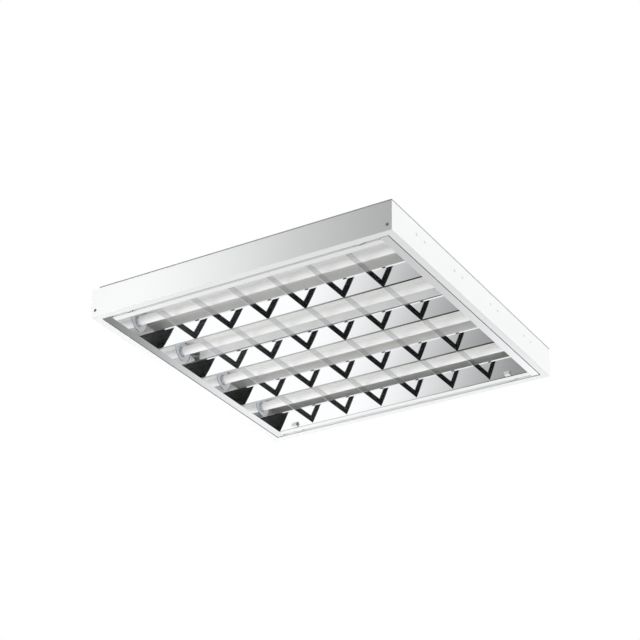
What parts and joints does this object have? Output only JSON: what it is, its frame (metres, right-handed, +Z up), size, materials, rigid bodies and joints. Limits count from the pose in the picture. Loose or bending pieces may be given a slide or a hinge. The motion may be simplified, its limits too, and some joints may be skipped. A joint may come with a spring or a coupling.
{
  "type": "recessed troffer light",
  "caption": "Square lay-in ceiling light with fluorescent tubes in rows above a hinged mirror louvre, in a shallow white steel box.",
  "frame": {"origin": "centre of the underside of the rim, which rests on the ceiling grid", "axes": "+Z up into the ceiling, +X along the lamps, the louvre hinge on the -Y side"},
  "size_m": [0.5978, 0.5982, 0.0569],
  "materials": {
    "white_paint": "white powder coat, satin",
    "galvanised_steel": "galvanised sheet, unpainted",
    "screw_steel": "zinc plated",
    "gear_case": "white coated steel case",
    "terminal_plastic": "moulded, matt",
    "grommet_rubber": "soft black rubber",
    "wire_insulation": "bundled insulated wire, matt",
    "holder_plastic": "white moulded plastic",
    "lamp_tube": "white phosphor-coated glass, unlit",
    "lamp_cap": "satin aluminium cap",
    "rotor_plastic": "white moulded plastic",
    "mirror_aluminium": "bright anodised, mirror finish",
    "satin_aluminium": "anodised, semi-bright",
    "latch_plastic": "pale moulded plastic"
  },
  "bodies": {
    "housing": {"end_wall_right": "white_paint", "side_wall_far": "white_paint", "end_wall_left": "white_paint", "side_wall_near": "white_paint", "reflector_tray": "white_paint", "gear_cover": "white_paint", "hinge_brackets": "white_paint", "latch_keepers": "white_paint", "back_plate": "galvanised_steel", "corner_brackets": "galvanised_steel", "side_screws": "screw_steel", "roof_screws": "screw_steel", "lampholder_rivets": "screw_steel", "earth_screw": "screw_steel", "ballast_case": "gear_case", "ballast_terminals": "terminal_plastic", "terminal_block": "terminal_plastic", "cable_grommet": "grommet_rubber", "left_wiring": "wire_insulation", "right_wiring": "wire_insulation", "lampholder_right_1": "holder_plastic", "lampholder_left_1": "holder_plastic", "lampholder_right_2": "holder_plastic", "lampholder_left_2": "holder_plastic", "lampholder_right_3": "holder_plastic", "lampholder_left_3": "holder_plastic", "lampholder_right_4": "holder_plastic", "lampholder_left_4": "holder_plastic"},
    "louvre": {"reflector_1": "mirror_aluminium", "reflector_2": "mirror_aluminium", "reflector_3": "mirror_aluminium", "side_reflector_far": "mirror_aluminium", "side_reflector_near": "mirror_aluminium", "cross_blade_1": "satin_aluminium", "cross_blade_2": "satin_aluminium", "cross_blade_3": "satin_aluminium", "cross_blade_4": "satin_aluminium", "cross_blade_5": "satin_aluminium", "cross_blade_6": "satin_aluminium", "louvre_end_left": "mirror_aluminium", "louvre_end_right": "mirror_aluminium", "side_rail_far": "white_paint", "side_rail_near": "white_paint", "hinge_pins": "screw_steel", "latch_guides": "galvanised_steel"},
    "latch_left": {"latch_left": "latch_plastic"},
    "latch_right": {"latch_right": "latch_plastic"},
    "lamp_1": {"lamp_1_glass": "lamp_tube", "lamp_1_caps": "lamp_cap", "lamp_1_rotors": "rotor_plastic"},
    "lamp_2": {"lamp_2_glass": "lamp_tube", "lamp_2_caps": "lamp_cap", "lamp_2_rotors": "rotor_plastic"},
    "lamp_3": {"lamp_3_glass": "lamp_tube", "lamp_3_caps": "lamp_cap", "lamp_3_rotors": "rotor_plastic"},
    "lamp_4": {"lamp_4_glass": "lamp_tube", "lamp_4_caps": "lamp_cap", "lamp_4_rotors": "rotor_plastic"}
  },
  "joints": [
    {"name": "louvre_hinge", "type": "hinge", "parent": "housing", "child": "louvre", "pos_m": [0, -0.282, 0.0036], "axis": [-1, 0, 0], "range_deg": [0, 90]},
    {"name": "latch_left_slide", "type": "slide", "parent": "louvre", "child": "latch_left", "axis": [0, 1, 0], "range_m": [0, 0.008]},
    {"name": "latch_right_slide", "type": "slide", "parent": "louvre", "child": "latch_right", "axis": [0, 1, 0], "range_m": [0, 0.008]},
    {"name": "lamp_1_twist", "type": "hinge", "parent": "housing", "child": "lamp_1", "pos_m": [0, -0.20205, 0.0295], "axis": [1, 0, 0], "range_deg": [0, 90]},
    {"name": "lamp_2_twist", "type": "hinge", "parent": "housing", "child": "lamp_2", "pos_m": [0, -0.06735, 0.0295], "axis": [1, 0, 0], "range_deg": [0, 90]},
    {"name": "lamp_3_twist", "type": "hinge", "parent": "housing", "child": "lamp_3", "pos_m": [0, 0.06735, 0.0295], "axis": [1, 0, 0], "range_deg": [0, 90]},
    {"name": "lamp_4_twist", "type": "hinge", "parent": "housing", "child": "lamp_4", "pos_m": [0, 0.20205, 0.0295], "axis": [1, 0, 0], "range_deg": [0, 90]}
  ]
}
